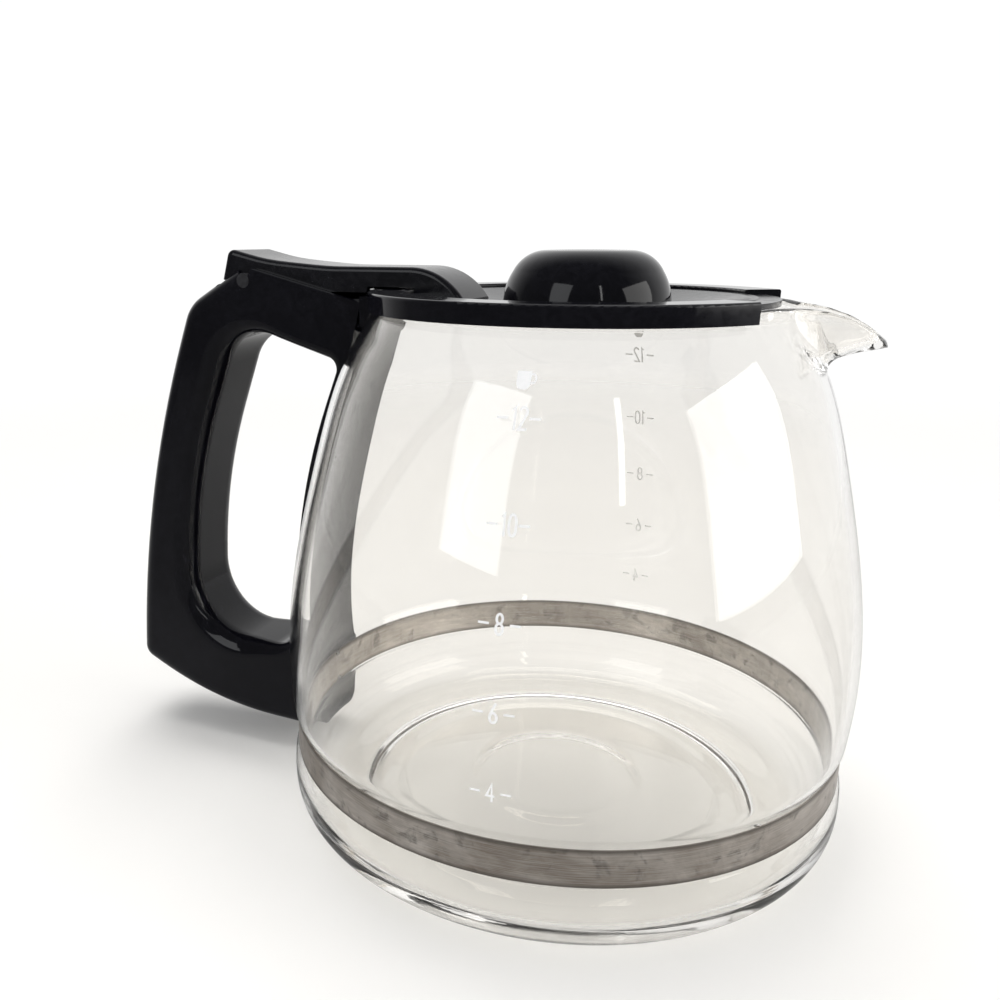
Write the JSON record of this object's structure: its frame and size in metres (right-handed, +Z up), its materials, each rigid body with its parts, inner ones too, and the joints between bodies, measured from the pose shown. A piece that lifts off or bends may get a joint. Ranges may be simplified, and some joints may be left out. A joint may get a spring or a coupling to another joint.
{
  "type": "coffee carafe",
  "caption": "Glass coffee pot with a pouring spout, black D-shaped handle, collar, steel clamp band and a hinged drip-through lid with a raised dome.",
  "frame": {"origin": "on the glass body's axis, at the plane that the pot stands on", "axes": "+Z up along the glass body's axis, +X along the pouring spout, -X along the handle"},
  "size_m": [0.2145, 0.1514, 0.1505],
  "materials": {
    "clear_glass": "clear, polished",
    "black_gloss": "moulded black, glossy",
    "black_satin": "moulded black, slightly duller",
    "band_steel": "brushed, heat-stained",
    "screw_steel": "zinc plated",
    "scale_print": "white fired-on enamel print of the measuring scale"
  },
  "bodies": {
    "pot": {"glass_pot": "clear_glass", "neck_collar": "black_gloss", "handle": "black_gloss", "clamp_band": "band_steel", "band_screw": "screw_steel", "collar_screw": "screw_steel"},
    "lid": {"lid": "black_satin", "lid_dome": "black_gloss", "hinge_pin": "black_satin"}
  },
  "joints": [
    {"name": "lid_hinge", "type": "hinge", "parent": "pot", "child": "lid", "pos_m": [-0.091, 0, 0.1422], "axis": [0, -1, 0], "range_deg": [0, 95]}
  ]
}
